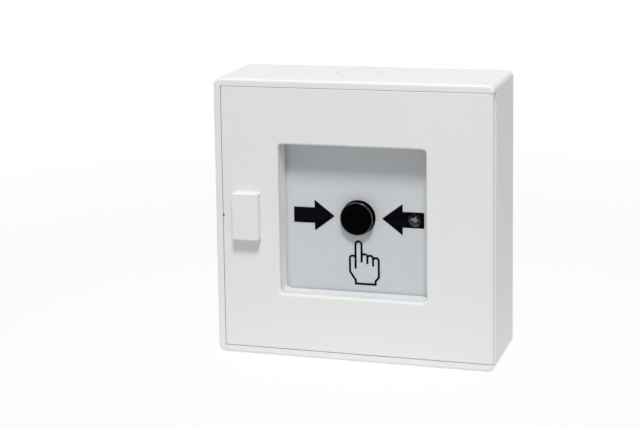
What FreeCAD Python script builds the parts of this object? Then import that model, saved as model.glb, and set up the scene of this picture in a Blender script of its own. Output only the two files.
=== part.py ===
import FreeCAD, Part
import math
import os
import re

import Sketcher

# Fire alarm call point: a square surface box, a hinged door with a thin glass
# pane, and behind it a plate with the black button that raises the alarm.
# The origin is the centre of the back face, X to the right, Z up, and the
# depth of a place is how far it stands out from the wall, along -Y.

Vector = FreeCAD.Vector

SIZES = {
    # Back box
    "case_width": 135.0,
    "case_height": 135.0,
    "case_depth": 50.0,
    "case_wall": 3.5,
    "hinge_wall": 3.0,
    "case_back": 3.0,
    "case_corner": 3.0,
    "case_edge": 1.2,
    "hinge_wall_edge": 1.3,
    "wall_screw_pitch_x": 110.0,
    "wall_screw_pitch_z": 100.0,
    "wall_screw_hole": 4.5,
    "wall_screw_pad": 11.0,
    "wall_screw_pad_rise": 0.8,
    "cable_slot_width": 30.0,
    "cable_slot_height": 12.0,
    "cable_slot_z": 38.0,
    "knockout_x": -2.2,
    "knockout_depth": 23.3,
    "knockout_radius": 11.4,
    "knockout_groove": 0.8,
    "knockout_sink": 0.25,
    "stud_x": -4.0,
    "stud_depth": 5.5,
    "stud_radius": 4.4,
    "stud_rise": 0.5,
    "dimple_inset": 4.7,
    "dimple_front": 5.6,
    "dimple_radius": 0.8,
    "dimple_sink": 0.4,
    "boss_radius": 4.0,
    "overlap": 0.1,
    "past": 1.0,
    # Door and its hinge
    "door_thick": 3.0,
    "door_hole": 1.5,
    "door_gap": 0.2,
    "door_side_step": 0.5,
    "door_corner": 0.8,
    "door_edge": 0.4,
    "hinge_edge": 1.0,
    "hinge_inset": 2.0,
    "hinge_barrel": 1.9,
    "swing_gap": 0.4,
    "pin_radius": 1.0,
    "pin_engage": 6.0,
    "pin_seat": 2.4,
    "pin_seat_gap": 0.02,
    "pin_running_gap": 0.05,
    "pin_end_gap": 0.2,
    "pin_chamfer": 0.25,
    "window_side": 31.7,
    "window_margin": 31.0,
    "window_depth": 4.2,
    "window_corner": 2.0,
    "window_lip": 1.2,
    "collar_wall": 3.0,
    "rim_inset": 1.5,
    "rim_wall": 1.5,
    "rim_rise": 2.6,
    "notch_radius": 0.8,
    "notch_z": 0.8,
    # Glass pane and the frame that holds it
    "pane_lap_x": 4.0,
    "pane_lap_z": 3.5,
    "pane_thick": 0.9,
    "pane_gap": 0.3,
    "pane_fence": 1.2,
    "frame_thick": 3.7,
    "frame_tunnel": 3.5,
    "tunnel_wall": 1.6,
    "frame_lap_x": 2.4,
    "frame_lap_z": 6.0,
    "frame_corner": 2.5,
    "frame_bevel": 0.6,
    "frame_screw_inset": 6.4,
    "frame_screw_out": 3.6,
    "frame_screw_length": 4.5,
    "frame_boss": 2.4,
    # Lock, its cover and the bolt
    "lock_shift": 1.9,
    "lock_z": 1.5,
    "cover_width": 12.9,
    "cover_height": 22.7,
    "cover_rise": 5.6,
    "cover_wall": 1.4,
    "cover_face": 1.0,
    "cover_edge": 0.5,
    "cover_boss": 1.5,
    "cover_screw_x": 3.8,
    "cover_screw_z": 7.2,
    "cover_screw_length": 6.5,
    "cover_hole_end": 0.4,
    "barrel_radius": 1.8,
    "barrel_gap": 0.4,
    "barrel_running_gap": 0.05,
    "trunnion_radius": 1.1,
    "trunnion_length": 0.9,
    "trunnion_skin": 0.3,
    "key_width": 2.6,
    "key_thick": 0.8,
    "key_depth": 3.0,
    "cam_reach": 6.2,
    "cam_tip": 1.1,
    "cam_neck": 1.6,
    "cam_thick": 4.0,
    "cam_tilt": 22.5,
    "cam_gap": 0.15,
    "cam_way_gap": 0.4,
    "bolt_height": 8.0,
    "bolt_thick": 2.5,
    "bolt_engage": 2.5,
    "bolt_tail": 1.5,
    "bolt_gap": 0.2,
    "strike_gap": 0.35,
    "guide_wall": 1.2,
    "guide_start": 2.6,
    "guide_short": 1.0,
    "keeper_thick": 1.0,
    "keeper_start": 1.6,
    "keeper_gap": 2.3,
    "keeper_height": 18.6,
    "keeper_screw_x": 2.4,
    "keeper_screw_low_x": 2.9,
    "keeper_screw_z": 7.2,
    "keeper_screw_length": 5.0,
    "keeper_boss": 2.2,
    # Front plate with its print
    "module_depth": 26.5,
    "plate_gap": 1.2,
    "plate_thick": 2.5,
    "plate_wall": 2.0,
    "plate_half_width": 44.0,
    "plate_top": 45.0,
    "plate_bottom": -56.0,
    "plate_corner": 3.0,
    "plate_edge": 0.5,
    "print_thick": 0.15,
    "control_z": 0.0,
    "arrow_tail": 32.0,
    "arrow_head": 21.6,
    "arrow_tip": 11.7,
    "arrow_shaft_half": 3.8,
    "arrow_head_half": 7.6,
    "hand_stroke": 1.0,
    "hand_x": -0.1,
    "hand_tip_z": -11.8,
    "hand_finger": 1.5,
    "hand_knuckle": 1.4,
    "hand_thumb_drop": 7.0,
    "hand_thumb_length": 6.5,
    "hand_first_drop": 6.0,
    "hand_second_drop": 6.6,
    "hand_third_drop": 7.6,
    "hand_length": 19.3,
    "hand_cuff": 1.7,
    "hand_flare": 1.9,
    "hand_taper": 1.6,
    "hand_crease": 2.4,
    "hand_thumb_crease": 4.6,
    "module_screw_inset": 4.5,
    "module_head": 2.8,
    "module_head_rise": 1.9,
    "module_shank": 1.45,
    "module_engage": 5.5,
    "recess_reach": 1.7,
    "recess_half": 0.35,
    "recess_depth": 1.2,
    # Rear half of the module
    "base_thick": 2.0,
    "base_top": 59.0,
    "base_rim_rise": 3.0,
    "base_rim_wall": 1.4,
    "base_fit": 0.2,
    "tower_radius": 4.0,
    "tower_foot": 7.0,
    "tower_foot_rise": 8.5,
    "tower_floor": 2.0,
    # Circuit board and what it carries
    "board_half_width": 34.0,
    "board_top": 58.0,
    "board_bottom": -43.0,
    "board_thick": 1.6,
    "board_standoff": 5.0,
    "board_post": 2.6,
    "board_screw_x": 29.0,
    "board_screw_top": 38.0,
    "board_screw_low": -38.0,
    "board_screw_length": 5.5,
    "post_floor": 0.5,
    "board_way_gap": 0.5,
    "board_hole_gap": 0.6,
    "switch_left": -33.2,
    "switch_length": 20.0,
    "switch_width": 6.4,
    "switch_height": 6.3,
    "switch_ear": 0.8,
    "switch_ear_gap": 0.2,
    "pivot_rise": 1.5,
    "pivot_radius": 0.6,
    "pivot_gap": 0.05,
    "lever_eye": 1.2,
    "lever_arm": 23.0,
    "lever_overhang": 1.0,
    "lever_thick": 0.5,
    "lever_width": 4.0,
    "plunger_arm": 6.0,
    "plunger_radius": 1.0,
    "plunger_round": 0.6,
    "plunger_gap": 0.05,
    "plunger_engage": 3.0,
    "contact_gap": 0.1,
    "finger_clear": 0.03,
    "finger_inset": 0.2,
    "terminal_ways": 6.0,
    "terminal_pitch": 6.2,
    "terminal_bottom": 46.5,
    "terminal_tall": 10.0,
    "terminal_rise": 12.0,
    "terminal_step": 4.0,
    "terminal_end": 0.5,
    "clamp_level": 3.0,
    "wire_hole": 1.6,
    "wire_depth": 5.0,
    "clamp_radius": 1.7,
    "clamp_sink": 1.2,
    "clamp_rise": 1.6,
    "led_x": 27.6,
    "led_radius": 2.9,
    "led_length": 8.8,
    "led_proud": 2.4,
    "led_foot": 0.45,
    "led_foot_rise": 1.0,
    "led_hole_gap": 0.2,
    "lead_pitch": 2.54,
    "lead_radius": 0.3,
    "lead_hole": 0.45,
    "lead_tail": 1.2,
    # Button and its spring
    "button_radius": 8.15,
    "button_hole_gap": 0.3,
    "button_proud": 4.0,
    "button_round": 0.5,
    "button_travel": 3.5,
    "flange_radius": 9.5,
    "flange_thick": 1.8,
    "flange_gap": 0.2,
    "stem_radius": 2.5,
    "stem_running_gap": 0.05,
    "stem_end_gap": 1.0,
    "finger_radius": 1.1,
    "spring_radius": 5.2,
    "spring_wire": 0.4,
    "spring_turns": 5.0,
    "spring_seat": 0.05,
    "coil_steps": 14.0,
    # Reset slide
    "slide_half": 3.0,
    "slide_thick": 2.0,
    "slide_gap": 0.2,
    "slide_travel": 1.6,
    "slide_catch_gap": 0.5,
    "slide_end": -52.0,
    "tab_top": -48.6,
    "tab_tall": 2.8,
    "tab_proud": 2.6,
    "rail_wall": 1.6,
    "rail_lip": 1.0,
    "rail_top": -13.0,
    "rail_bottom": -44.0,
    "slot_half": 1.5,
    "slot_top": -25.0,
    "slot_bottom": -37.4,
    "peg_radius": 0.8,
    "peg_z": -36.0,
    "reset_wire": 0.2,
    "reset_radius": 0.8,
    "reset_turns": 6.0,
    # Small screws
    "small_shank": 0.8,
    "small_head": 1.6,
    "small_head_rise": 1.0,
    "small_slot": 0.5,
    "small_gap": 0.05,
}

# Depths and places that follow from the sizes
DOOR_BACK = "(case_depth - door_thick)"
WINDOW_X = "(case_width / 2 - window_side)"
WINDOW_Z = "(case_height / 2 - window_margin)"
COLLAR_BACK = "(case_depth - window_depth)"
PANE_BACK = f"({COLLAR_BACK} - pane_thick)"
FRAME_BACK = f"({PANE_BACK} - frame_thick)"
TUNNEL_BACK = f"({FRAME_BACK} - frame_tunnel)"
PLATE_FACE = f"({TUNNEL_BACK} - plate_gap)"
PLATE_BACK = f"({PLATE_FACE} - plate_thick)"
BOSS_TOP = f"({PLATE_FACE} - module_depth)"
BASE_FRONT = f"({BOSS_TOP} + base_thick)"
BOARD_BACK = f"({BASE_FRONT} + board_standoff)"
BOARD_FRONT = f"({BOARD_BACK} + board_thick)"
HALF_WIDTH = "(case_width / 2)"
HALF_HEIGHT = "(case_height / 2)"
INNER_LEFT = f"(-{HALF_WIDTH} + case_wall)"
INNER_RIGHT = f"({HALF_WIDTH} - hinge_wall)"
INNER_HIGH = f"({HALF_HEIGHT} - case_wall)"
DOOR_LEFT = f"({INNER_LEFT} + door_gap)"
DOOR_RIGHT = f"({HALF_WIDTH} - door_side_step)"
DOOR_HIGH = f"({INNER_HIGH} - door_gap)"
HINGE_X = f"({DOOR_RIGHT} - hinge_inset)"
HINGE_DEPTH = "(case_depth - hinge_inset)"
HINGE_WALL_FRONT = f"({HINGE_DEPTH} - sqrt(2) * (hinge_inset - hinge_edge) - hinge_edge - swing_gap)"
PANE_HALF_X = f"({WINDOW_X} + pane_lap_x)"
PANE_HALF_Z = f"({WINDOW_Z} + pane_lap_z)"
FRAME_HALF_X = f"({PANE_HALF_X} + frame_lap_x)"
FRAME_HALF_Z = f"({PANE_HALF_Z} + frame_lap_z)"
BUTTON_FRONT = f"({PLATE_FACE} + button_proud)"
FLANGE_FRONT = f"({PLATE_BACK} - flange_gap)"
FLANGE_BACK = f"({FLANGE_FRONT} - flange_thick)"
TOWER_FOOT_TOP = f"({BASE_FRONT} + tower_foot_rise)"
TOWER_TOP = f"({FLANGE_BACK} - button_travel - stem_end_gap)"
STEM_END = f"({BASE_FRONT} + tower_floor + button_travel + stem_end_gap)"
SWITCH_TOP = f"({BOARD_FRONT} + switch_height)"
PIVOT_DEPTH = f"({SWITCH_TOP} + pivot_rise)"
PIVOT_X = "(-lever_arm - flange_radius + finger_radius + finger_inset)"
LEVER_TILT = "(button_travel / lever_arm * 180 / pi)"
FINGER_RISE = f"(lever_arm * tan({LEVER_TILT} * 1 deg) + lever_thick / 2 + contact_gap + finger_clear)"
FINGER_TIP = f"({PIVOT_DEPTH} + {FINGER_RISE})"
LED_BASE = f"({PLATE_FACE} + led_proud - led_length)"
LOCK_X = f"(({DOOR_LEFT} - {FRAME_HALF_X}) / 2 + lock_shift)"
LOCK_DEPTH = "(case_depth + cover_rise - cover_face - barrel_gap - barrel_radius)"
COVER_LOW = "(lock_z - cover_height / 2)"
COVER_HIGH = "(lock_z + cover_height / 2)"
CAM_SWING = "(cam_reach * sin(cam_tilt * 1 deg))"
TIP_X = f"({LOCK_X} + {CAM_SWING})"
BOLT_FRONT = f"({DOOR_BACK} - bolt_gap)"
BOLT_BACK = f"({BOLT_FRONT} - bolt_thick)"
BOLT_REACH = f"({INNER_LEFT} - bolt_engage)"
BOLT_NOSE = f"({BOLT_REACH} + 2 * {CAM_SWING})"
KEEPER_FRONT = f"({BOLT_BACK} - bolt_gap)"
KEEPER_BACK = f"({KEEPER_FRONT} - keeper_thick)"
KEEPER_LEFT = f"({DOOR_LEFT} + keeper_start)"
KEEPER_RIGHT = f"(-{FRAME_HALF_X} - keeper_gap)"
GUIDE_LEFT = f"({DOOR_LEFT} + guide_start)"
GUIDE_RIGHT = f"({KEEPER_RIGHT} - guide_short)"
SLIDE_FRONT = f"({PLATE_BACK} - slide_gap)"
SLIDE_BACK = f"({SLIDE_FRONT} - slide_thick)"
SLIDE_MIDDLE = f"({SLIDE_FRONT} - slide_thick / 2)"
SLIDE_TOP = "(control_z - flange_radius - slide_catch_gap)"
SMALL_HOLE = "(small_shank + small_gap)"

doc = FreeCAD.newDocument("call_point")
sheet = doc.addObject("Spreadsheet::Sheet", "Sizes")
for row, (name, size) in enumerate(SIZES.items(), start=1):
    sheet.set(f"A{row}", name)
    sheet.set(f"B{row}", str(size))
    sheet.setAlias(f"B{row}", name)
doc.recompute()

PARTS = []
WORD = re.compile(r"[a-z][a-z0-9_]*")
FRONT = "XZ_Plane"
SIDE = "YZ_Plane"
PLAN = "XY_Plane"


def bound(text):
    """The expression that the sheet's cells take, from plain words."""
    return WORD.sub(lambda word: "Sizes." + word.group() if word.group() in SIZES else word.group(), text)


def number(text):
    """The present value of an expression."""
    return float(sheet.evalExpression(bound(text)))


def new_body(label):
    body = doc.addObject("PartDesign::Body", label)
    body.Label = label
    PARTS.append(body)
    return body


def hold(sketch, shape, point, across, up):
    """Fixes a point of a sketch at its two distances from the sketch's origin."""
    for kind, text in (("DistanceX", across), ("DistanceY", up)):
        index = sketch.addConstraint(Sketcher.Constraint(kind, shape, point, number(text)))
        sketch.setExpression(f"Constraints[{index}]", bound(text))


def outline(*points):
    """A closed outline of straight runs, as a drawing for a sketch."""
    def draw(sketch):
        first = sketch.GeometryCount
        places = [Vector(number(across), number(up), 0) for across, up in points]
        count = len(points)
        for index in range(count):
            sketch.addGeometry(Part.LineSegment(places[index], places[(index + 1) % count]), False)
        for index in range(count):
            after = first + (index + 1) % count
            sketch.addConstraint(Sketcher.Constraint("Coincident", first + index, 2, after, 1))
        for index, (across, up) in enumerate(points):
            hold(sketch, first + index, 1, across, up)
    return draw


def block(left, right, low, high):
    return outline((left, low), (right, low), (right, high), (left, high))


def block_at(across, up, half_across, half_up):
    """A rectangle about its centre."""
    return block(f"{across} - {half_across}", f"{across} + {half_across}",
                 f"{up} - {half_up}", f"{up} + {half_up}")


def disc(across, up, radius):
    """A circle, as a drawing for a sketch."""
    def draw(sketch):
        place = Vector(number(across), number(up), 0)
        shape = sketch.addGeometry(Part.Circle(place, Vector(0, 0, 1), number(radius)), False)
        index = sketch.addConstraint(Sketcher.Constraint("Radius", shape, number(radius)))
        sketch.setExpression(f"Constraints[{index}]", bound(radius))
        hold(sketch, shape, 3, across, up)
    return draw


def discs(places, radius):
    return [disc(across, up, radius) for across, up in places]


def sketch_on(body, name, plane, at, drawings):
    """A sketch on one of the body's own planes, moved along the plane's normal."""
    sketch = body.newObject("Sketcher::SketchObject", f"{body.Name}_{name}_sketch")
    origin_plane = [item for item in body.Origin.OriginFeatures if item.Role == plane][0]
    sketch.AttachmentSupport = [(origin_plane, "")]
    sketch.MapMode = "FlatFace"
    sketch.setExpression("AttachmentOffset.Base.z", bound(at))
    for draw in drawings:
        draw(sketch)
    return sketch


def add(body, name, plane, start, end, *drawings):
    """Material between two levels, measured along the plane's normal."""
    pad = body.newObject("PartDesign::Pad", f"{body.Name}_{name}")
    pad.Profile = sketch_on(body, name, plane, start, drawings)
    pad.setExpression("Length", bound(f"({end}) - ({start})"))
    doc.recompute()
    return pad


def cut(body, name, plane, start, end, *drawings):
    """Removes what lies between two levels, and makes sure that something went."""
    before = body.Shape.Volume
    pocket = body.newObject("PartDesign::Pocket", f"{body.Name}_{name}")
    pocket.Profile = sketch_on(body, name, plane, end, drawings)
    pocket.setExpression("Length", bound(f"({end}) - ({start})"))
    doc.recompute()
    if body.Shape.Volume >= before:
        raise RuntimeError(f"{pocket.Name} removes nothing")
    return pocket


def edges(body, wanted):
    """Names of the present solid's edges that a test picks."""
    found = enumerate(body.Tip.Shape.Edges, start=1)
    return [f"Edge{index}" for index, edge in found if wanted(edge)]


def ease(body, name, kind, size, wanted):
    """A fillet or chamfer on the picked edges."""
    base = body.Tip
    names = edges(body, wanted)
    if not names:
        raise RuntimeError(f"{body.Name}_{name} finds no edge")
    feature = body.newObject(f"PartDesign::{kind}", f"{body.Name}_{name}")
    feature.Base = (base, names)
    feature.setExpression("Radius" if kind == "Fillet" else "Size", bound(size))
    doc.recompute()
    return feature


def near(value, text):
    return abs(value - number(text)) < 0.001


def along(edge, axis):
    """True for a straight edge along X, Y or Z."""
    if not isinstance(edge.Curve, Part.Line):
        return False
    return abs(abs(getattr(edge.Curve.Direction, axis)) - 1) < 0.001


def at_depth(edge, depth):
    """True for an edge that lies whole at one depth."""
    box = edge.BoundBox
    return near(-box.YMin, depth) and near(-box.YMax, depth)


def within(edge, half_width, half_height):
    """True for an edge inside a centred rectangle, as seen from the front."""
    box = edge.BoundBox
    across = max(abs(box.XMin), abs(box.XMax))
    up = max(abs(box.ZMin), abs(box.ZMax))
    return across < number(half_width) and up < number(half_height)


def corners(half_across, half_up):
    """The four places of a rectangle's corners about the origin."""
    return [(f"{side} * {half_across}", f"{end} * {half_up}") for side in (-1, 1) for end in (-1, 1)]


WALL_SCREWS = corners("wall_screw_pitch_x / 2", "wall_screw_pitch_z / 2")
MODULE_SCREW_X = "(plate_half_width - module_screw_inset)"
MODULE_SCREW_LOW = "(plate_bottom + module_screw_inset)"
MODULE_SCREW_TOP = "(plate_top - module_screw_inset)"
MODULE_SCREWS = [(f"{side} * {MODULE_SCREW_X}", level)
                 for side in (-1, 1) for level in (MODULE_SCREW_LOW, MODULE_SCREW_TOP)]
BOARD_SCREWS = [(f"{side} * board_screw_x", level)
                for side in (-1, 1) for level in ("board_screw_low", "board_screw_top")]
FRAME_SCREWS = corners(f"({FRAME_HALF_X} - frame_screw_inset)", f"({PANE_HALF_Z} + frame_screw_out)")
COVER_SCREWS = [(f"{LOCK_X} - cover_screw_x", "lock_z + cover_screw_z"),
                (f"{LOCK_X} + cover_screw_x", "lock_z - cover_screw_z")]
KEEPER_SCREWS = [(f"{KEEPER_LEFT} + keeper_screw_low_x", "lock_z - keeper_screw_z"),
                 (f"{KEEPER_RIGHT} - keeper_screw_x", "lock_z + keeper_screw_z")]


def make_back_box():
    """Moulded box, open to the front, whose right wall stays short for the hinge."""
    body = new_body("back_box")
    add(body, "block", FRONT, "0", "case_depth", block_at("0", "0", HALF_WIDTH, HALF_HEIGHT))
    ease(body, "corners", "Fillet", "case_corner", lambda edge: along(edge, "y"))
    ease(body, "front_edge", "Fillet", "case_edge", lambda edge: at_depth(edge, "case_depth"))
    cut(body, "inside", FRONT, "case_back", "case_depth + past",
        block(INNER_LEFT, INNER_RIGHT, f"-{INNER_HIGH}", INNER_HIGH))
    cut(body, "hinge_gap", FRONT, HINGE_WALL_FRONT, "case_depth + past",
        block(f"{INNER_RIGHT} - past", f"{HALF_WIDTH} + past", f"-{INNER_HIGH}", INNER_HIGH))
    ease(body, "hinge_wall_edge", "Fillet", "hinge_wall_edge",
         lambda edge: along(edge, "z") and near(edge.BoundBox.XMax, HALF_WIDTH)
         and at_depth(edge, HINGE_WALL_FRONT))
    add(body, "wall_screw_pads", FRONT, "case_back - overlap", "case_back + wall_screw_pad_rise",
        *discs(WALL_SCREWS, "wall_screw_pad / 2"))
    cut(body, "wall_screw_holes", FRONT, "-1", "case_back + wall_screw_pad_rise + past",
        *discs(WALL_SCREWS, "wall_screw_hole / 2"))
    cut(body, "cable_slot", FRONT, "-1", "case_back + past",
        block_at("0", "cable_slot_z", "cable_slot_width / 2", "cable_slot_height / 2"))
    ease(body, "cable_slot_corners", "Fillet", "cable_slot_height / 4",
         lambda edge: along(edge, "y") and near(edge.Length, "case_back")
         and near(abs(edge.BoundBox.XMin), "cable_slot_width / 2"))
    add(body, "module_bosses", FRONT, "case_back - overlap", BOSS_TOP, *discs(MODULE_SCREWS, "boss_radius"))
    cut(body, "module_screw_holes", FRONT, f"{BOSS_TOP} - module_engage - past", f"{BOSS_TOP} + past",
        *discs(MODULE_SCREWS, "module_shank + small_gap"))
    cut_hinge_seats(body)
    cut(body, "strike", SIDE, f"{BOLT_REACH} - strike_gap", f"{INNER_LEFT} + past",
        block(f"-{BOLT_FRONT} - strike_gap", f"-{BOLT_BACK} + strike_gap",
              "lock_z - bolt_height / 2 - strike_gap", "lock_z + bolt_height / 2 + strike_gap"))
    mark_outside(body)
    return body


def cut_hinge_seats(body):
    """Blind holes for the hinge pins in the top and bottom walls."""
    radius = "pin_radius + pin_seat_gap"
    place = disc(HINGE_X, f"-{HINGE_DEPTH}", radius)
    cut(body, "top_pin_seat", PLAN, f"{INNER_HIGH} - past", f"{INNER_HIGH} + pin_seat", place)
    cut(body, "bottom_pin_seat", PLAN, f"-{INNER_HIGH} - pin_seat", f"-{INNER_HIGH} + past", place)


def mark_outside(body):
    """Knock-out grooves at the top and bottom, the stud and the dimple on the top."""
    ring = (disc("knockout_x", "-knockout_depth", "knockout_radius + knockout_groove / 2"),
            disc("knockout_x", "-knockout_depth", "knockout_radius - knockout_groove / 2"))
    cut(body, "top_knockout", PLAN, f"{HALF_HEIGHT} - knockout_sink", f"{HALF_HEIGHT} + past", *ring)
    cut(body, "bottom_knockout", PLAN, f"-{HALF_HEIGHT} - past", f"-{HALF_HEIGHT} + knockout_sink", *ring)
    add(body, "stud", PLAN, f"{HALF_HEIGHT} - overlap", f"{HALF_HEIGHT} + stud_rise",
        disc("stud_x", "-stud_depth", "stud_radius"))
    cut(body, "dimple", PLAN, f"{HALF_HEIGHT} - dimple_sink", f"{HALF_HEIGHT} + past",
        disc(f"{HALF_WIDTH} - dimple_inset", "dimple_front - case_depth", "dimple_radius"))


def make_hinge_pin(label, end):
    """Steel pin, pressed into the box wall, on which one end of the door turns."""
    body = new_body(label)
    inner = f"{INNER_HIGH} - door_gap - pin_engage"
    outer = f"{INNER_HIGH} + pin_seat - pin_end_gap"
    levels = (inner, outer) if end > 0 else (f"-({outer})", f"-({inner})")
    add(body, "pin", PLAN, *levels, disc(HINGE_X, f"-{HINGE_DEPTH}", "pin_radius"))
    ease(body, "ends", "Chamfer", "pin_chamfer", lambda edge: isinstance(edge.Curve, Part.Circle))
    return body


def make_door_panel():
    """Moulded door: plate, hinge barrel, window collar, stiffening rim and bosses."""
    body = new_body("door_panel")
    add(body, "plate", FRONT, DOOR_BACK, "case_depth",
        block(DOOR_LEFT, DOOR_RIGHT, f"-{DOOR_HIGH}", DOOR_HIGH))
    ease(body, "corners", "Fillet", "door_corner",
         lambda edge: along(edge, "y") and near(edge.BoundBox.XMin, DOOR_LEFT))
    ease(body, "hinge_edge", "Fillet", "hinge_edge",
         lambda edge: along(edge, "z") and near(edge.BoundBox.XMax, DOOR_RIGHT)
         and at_depth(edge, "case_depth"))
    ease(body, "front_edge", "Fillet", "door_edge",
         lambda edge: along(edge, "z") and near(edge.BoundBox.XMin, DOOR_LEFT)
         and at_depth(edge, "case_depth"))
    add(body, "barrel", PLAN, f"-{DOOR_HIGH}", DOOR_HIGH, disc(HINGE_X, f"-{HINGE_DEPTH}", "hinge_barrel"))
    add(body, "rim", FRONT, f"{DOOR_BACK} - rim_rise", f"{DOOR_BACK} + overlap", *rim_outlines())
    add_pane_seat(body)
    add_bolt_guides(body)
    cut(body, "window", FRONT, f"{COLLAR_BACK} - past", "case_depth + past",
        block_at("0", "0", WINDOW_X, WINDOW_Z))
    ease(body, "window_corners", "Fillet", "window_corner",
         lambda edge: along(edge, "y") and near(abs(edge.BoundBox.XMin), WINDOW_X))
    ease(body, "window_lip", "Fillet", "window_lip",
         lambda edge: at_depth(edge, "case_depth")
         and within(edge, f"{WINDOW_X} + past", f"{WINDOW_Z} + past"))
    cut_door_holes(body)
    return body


def rim_outlines():
    """The stiffening rim on the back of the door, as two rectangles."""
    left = f"{DOOR_LEFT} + rim_inset"
    right = f"{HINGE_X} - hinge_barrel - rim_inset"
    high = f"{DOOR_HIGH} - rim_inset"
    return (block(left, right, f"-({high})", high),
            block(f"{left} + rim_wall", f"{right} - rim_wall",
                  f"-({high}) + rim_wall", f"{high} - rim_wall"))


def add_pane_seat(body):
    """The collar round the window, the fence that holds the pane and four screw bosses."""
    add(body, "collar", FRONT, COLLAR_BACK, f"{DOOR_BACK} + overlap",
        block_at("0", "0", f"({PANE_HALF_X} + pane_gap + overlap)", f"({PANE_HALF_Z} + pane_gap + overlap)"),
        block_at("0", "0", f"({WINDOW_X} - past)", f"({WINDOW_Z} - past)"))
    add(body, "fence", FRONT, f"{PANE_BACK} + pane_gap / 3", f"{DOOR_BACK} + overlap",
        block_at("0", "0", f"({PANE_HALF_X} + pane_gap + pane_fence)",
                 f"({PANE_HALF_Z} + pane_gap + pane_fence)"),
        block_at("0", "0", f"({PANE_HALF_X} + pane_gap)", f"({PANE_HALF_Z} + pane_gap)"))
    add(body, "frame_bosses", FRONT, PANE_BACK, f"{DOOR_BACK} + overlap", *discs(FRAME_SCREWS, "frame_boss"))


def add_bolt_guides(body):
    """Two ribs that guide the bolt and two bosses for its keeper."""
    inner = "(bolt_height / 2 + bolt_gap)"
    add(body, "guides", FRONT, f"{BOLT_BACK} + overlap", f"{DOOR_BACK} + overlap",
        block(GUIDE_LEFT, GUIDE_RIGHT, f"lock_z + {inner}", f"lock_z + {inner} + guide_wall"),
        block(GUIDE_LEFT, GUIDE_RIGHT, f"lock_z - {inner} - guide_wall", f"lock_z - {inner}"))
    add(body, "keeper_bosses", FRONT, KEEPER_FRONT, f"{DOOR_BACK} + overlap",
        *discs(KEEPER_SCREWS, "keeper_boss"))


def cut_door_holes(body):
    """Screw holes, hinge bores, the way for the cam and the bolt, and the finger notch."""
    cut(body, "frame_holes", FRONT, f"{PANE_BACK} - past", f"{DOOR_BACK} + door_hole",
        *discs(FRAME_SCREWS, SMALL_HOLE))
    cut(body, "keeper_holes", FRONT, f"{KEEPER_FRONT} - past", f"{DOOR_BACK} + door_hole",
        *discs(KEEPER_SCREWS, SMALL_HOLE))
    cut(body, "cover_holes", FRONT, f"{DOOR_BACK} - past", "case_depth + past",
        *discs(COVER_SCREWS, SMALL_HOLE))
    cut(body, "cam_way", FRONT, f"{DOOR_BACK} - past", "case_depth + past",
        block_at(LOCK_X, "lock_z", f"({CAM_SWING} + cam_tip + cam_way_gap)",
                 "(cam_thick / 2 + cam_way_gap)"))
    cut(body, "bolt_way", FRONT, f"{DOOR_BACK} - rim_rise - past", DOOR_BACK,
        block(DOOR_LEFT, f"{DOOR_LEFT} + rim_inset + rim_wall + cam_way_gap",
              "lock_z - bolt_height / 2 - strike_gap", "lock_z + bolt_height / 2 + strike_gap"))
    cut(body, "edge_notch", FRONT, f"{DOOR_BACK} - past", "case_depth + past",
        disc(DOOR_LEFT, "notch_z", "notch_radius"))
    bore = disc(HINGE_X, f"-{HINGE_DEPTH}", "pin_radius + pin_running_gap")
    reach = "(pin_engage + pin_end_gap)"
    cut(body, "top_pin_bore", PLAN, f"{DOOR_HIGH} - {reach}", f"{DOOR_HIGH} + past", bore)
    cut(body, "bottom_pin_bore", PLAN, f"-{DOOR_HIGH} - past", f"-{DOOR_HIGH} + {reach}", bore)


def make_glass_pane():
    """Thin glass that is broken or pressed in to reach the button."""
    body = new_body("glass_pane")
    add(body, "sheet", FRONT, PANE_BACK, COLLAR_BACK, block_at("0", "0", PANE_HALF_X, PANE_HALF_Z))
    return body


def make_pane_frame():
    """Moulded frame that clamps the pane, with the tunnel that reaches back to the plate."""
    body = new_body("pane_frame")
    add(body, "block", FRONT, FRAME_BACK, PANE_BACK, block_at("0", "0", FRAME_HALF_X, FRAME_HALF_Z))
    ease(body, "corners", "Fillet", "frame_corner", lambda edge: along(edge, "y"))
    ease(body, "back_edge", "Chamfer", "frame_bevel", lambda edge: at_depth(edge, FRAME_BACK))
    add(body, "tunnel", FRONT, TUNNEL_BACK, f"{FRAME_BACK} + overlap",
        block_at("0", "0", f"({WINDOW_X} + tunnel_wall)", f"({WINDOW_Z} + tunnel_wall)"))
    ease(body, "tunnel_corners", "Fillet", "window_corner + tunnel_wall",
         lambda edge: along(edge, "y") and near(abs(edge.BoundBox.XMin), f"{WINDOW_X} + tunnel_wall"))
    cut(body, "opening", FRONT, f"{TUNNEL_BACK} - past", f"{PANE_BACK} + past",
        block_at("0", "0", WINDOW_X, WINDOW_Z))
    ease(body, "opening_corners", "Fillet", "window_corner",
         lambda edge: along(edge, "y") and near(abs(edge.BoundBox.XMin), WINDOW_X))
    cut(body, "screw_holes", FRONT, f"{FRAME_BACK} - past", f"{PANE_BACK} + past",
        *discs(FRAME_SCREWS, SMALL_HOLE))
    cut(body, "screw_sinks", FRONT, f"{FRAME_BACK} - past", f"{FRAME_BACK} + small_head_rise + small_gap",
        *discs(FRAME_SCREWS, "small_head + 2 * small_gap"))
    return body


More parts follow.
